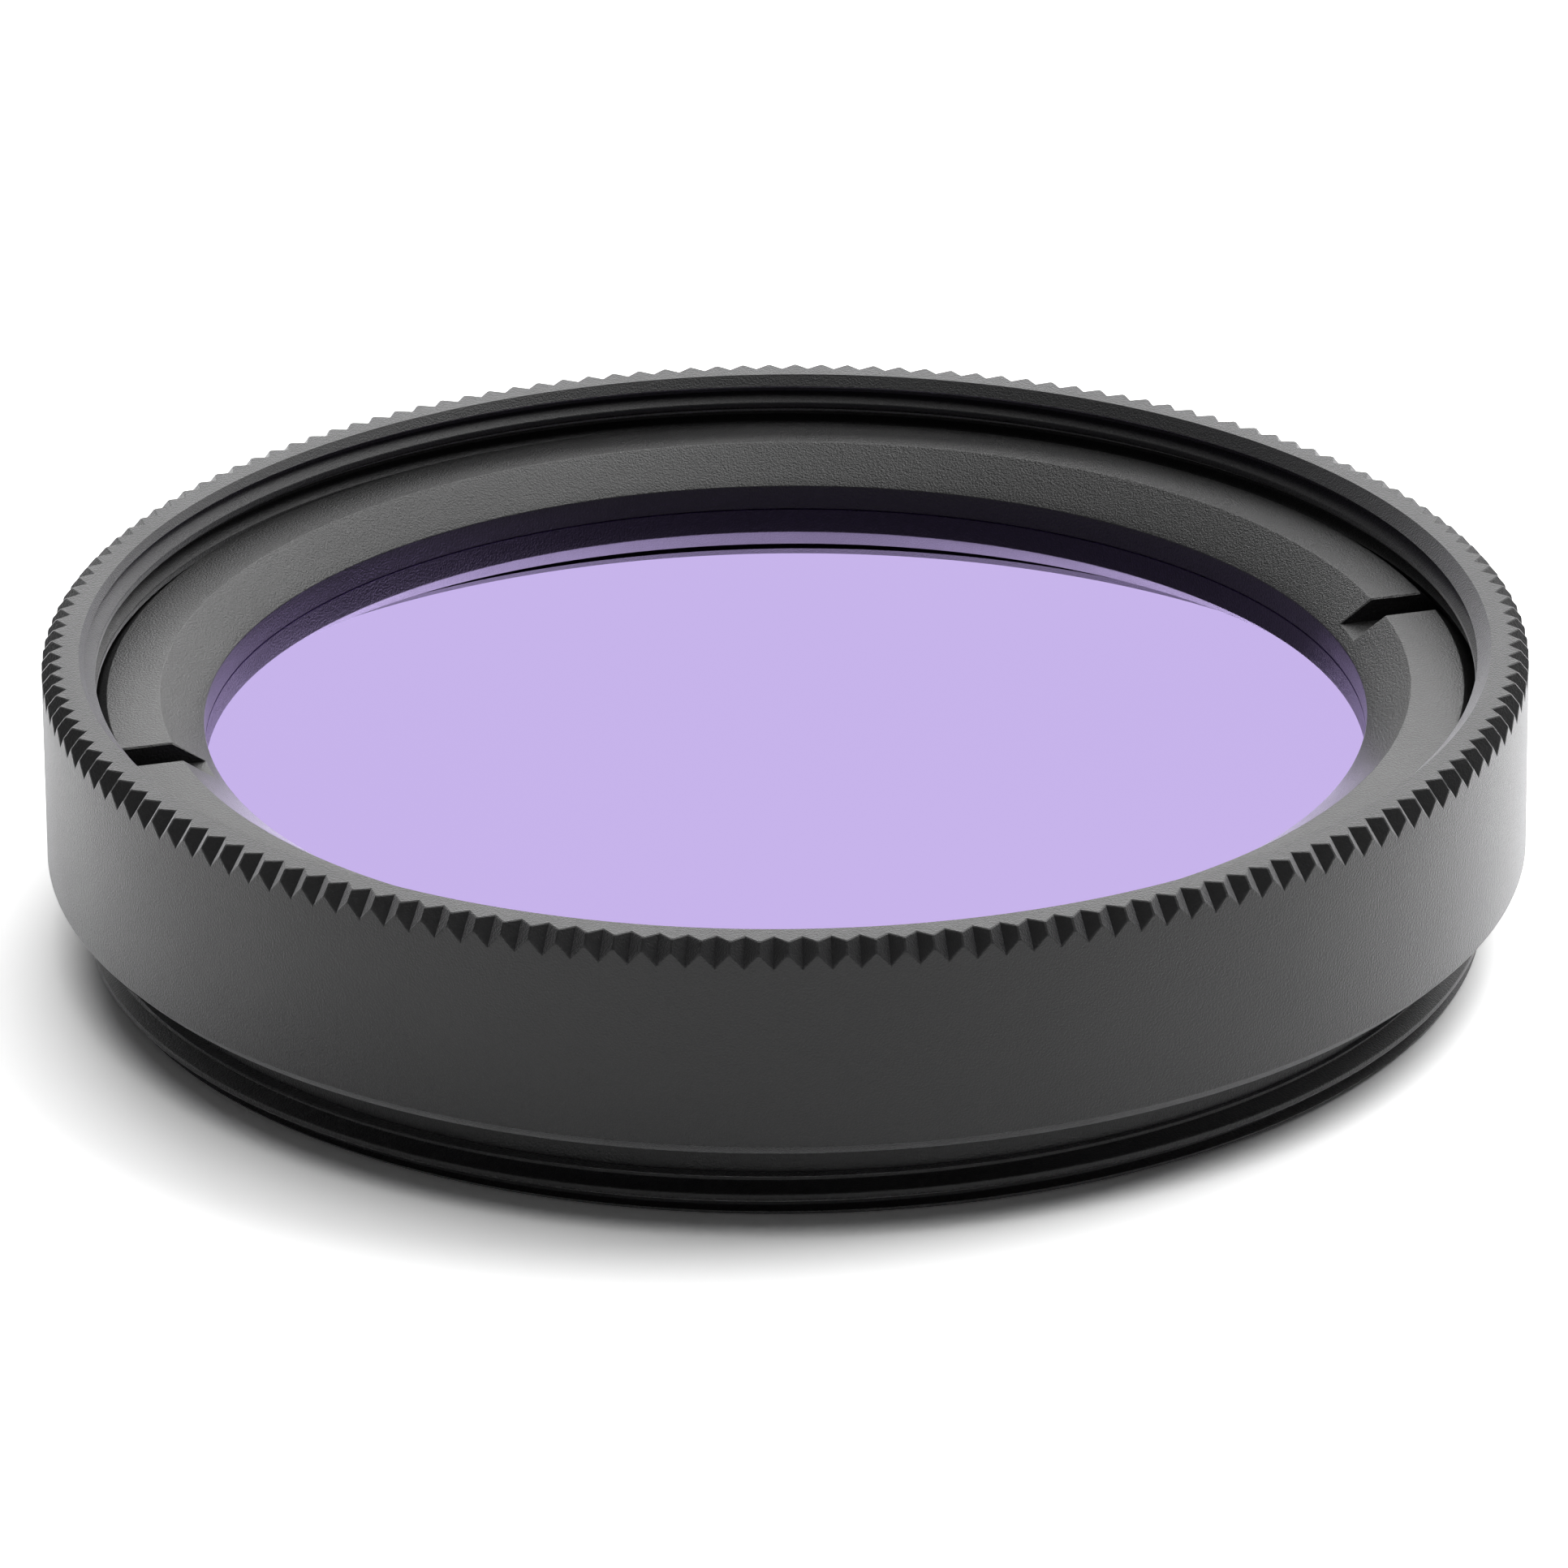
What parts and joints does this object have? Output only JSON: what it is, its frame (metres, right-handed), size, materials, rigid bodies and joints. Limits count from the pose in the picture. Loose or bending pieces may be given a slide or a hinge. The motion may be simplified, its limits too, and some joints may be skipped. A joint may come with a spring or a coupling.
{
  "type": "threaded optical bandpass filter",
  "caption": "Round optical filter: a coated glass plate held by a slotted retaining ring in a black threaded mount with a knurled front corner, male thread behind and female thread in front.",
  "frame": {"origin": "centre of the flat rear end of the male thread, which the part rests on", "axes": "+Z along the optical axis, from the male thread towards the female thread; -Y is the side that faces the camera in the picture"},
  "size_m": [0.0285, 0.0285, 0.0059],
  "materials": {
    "anodised_body": "black anodised, satin turned",
    "anodised_retainer": "black anodised, satin turned",
    "coated_glass": "polished with a lavender interference coating that mirrors most light"
  },
  "bodies": {
    "root": {"mount_ring": "anodised_body", "retaining_ring": "anodised_retainer", "filter_glass": "coated_glass"}
  },
  "joints": []
}
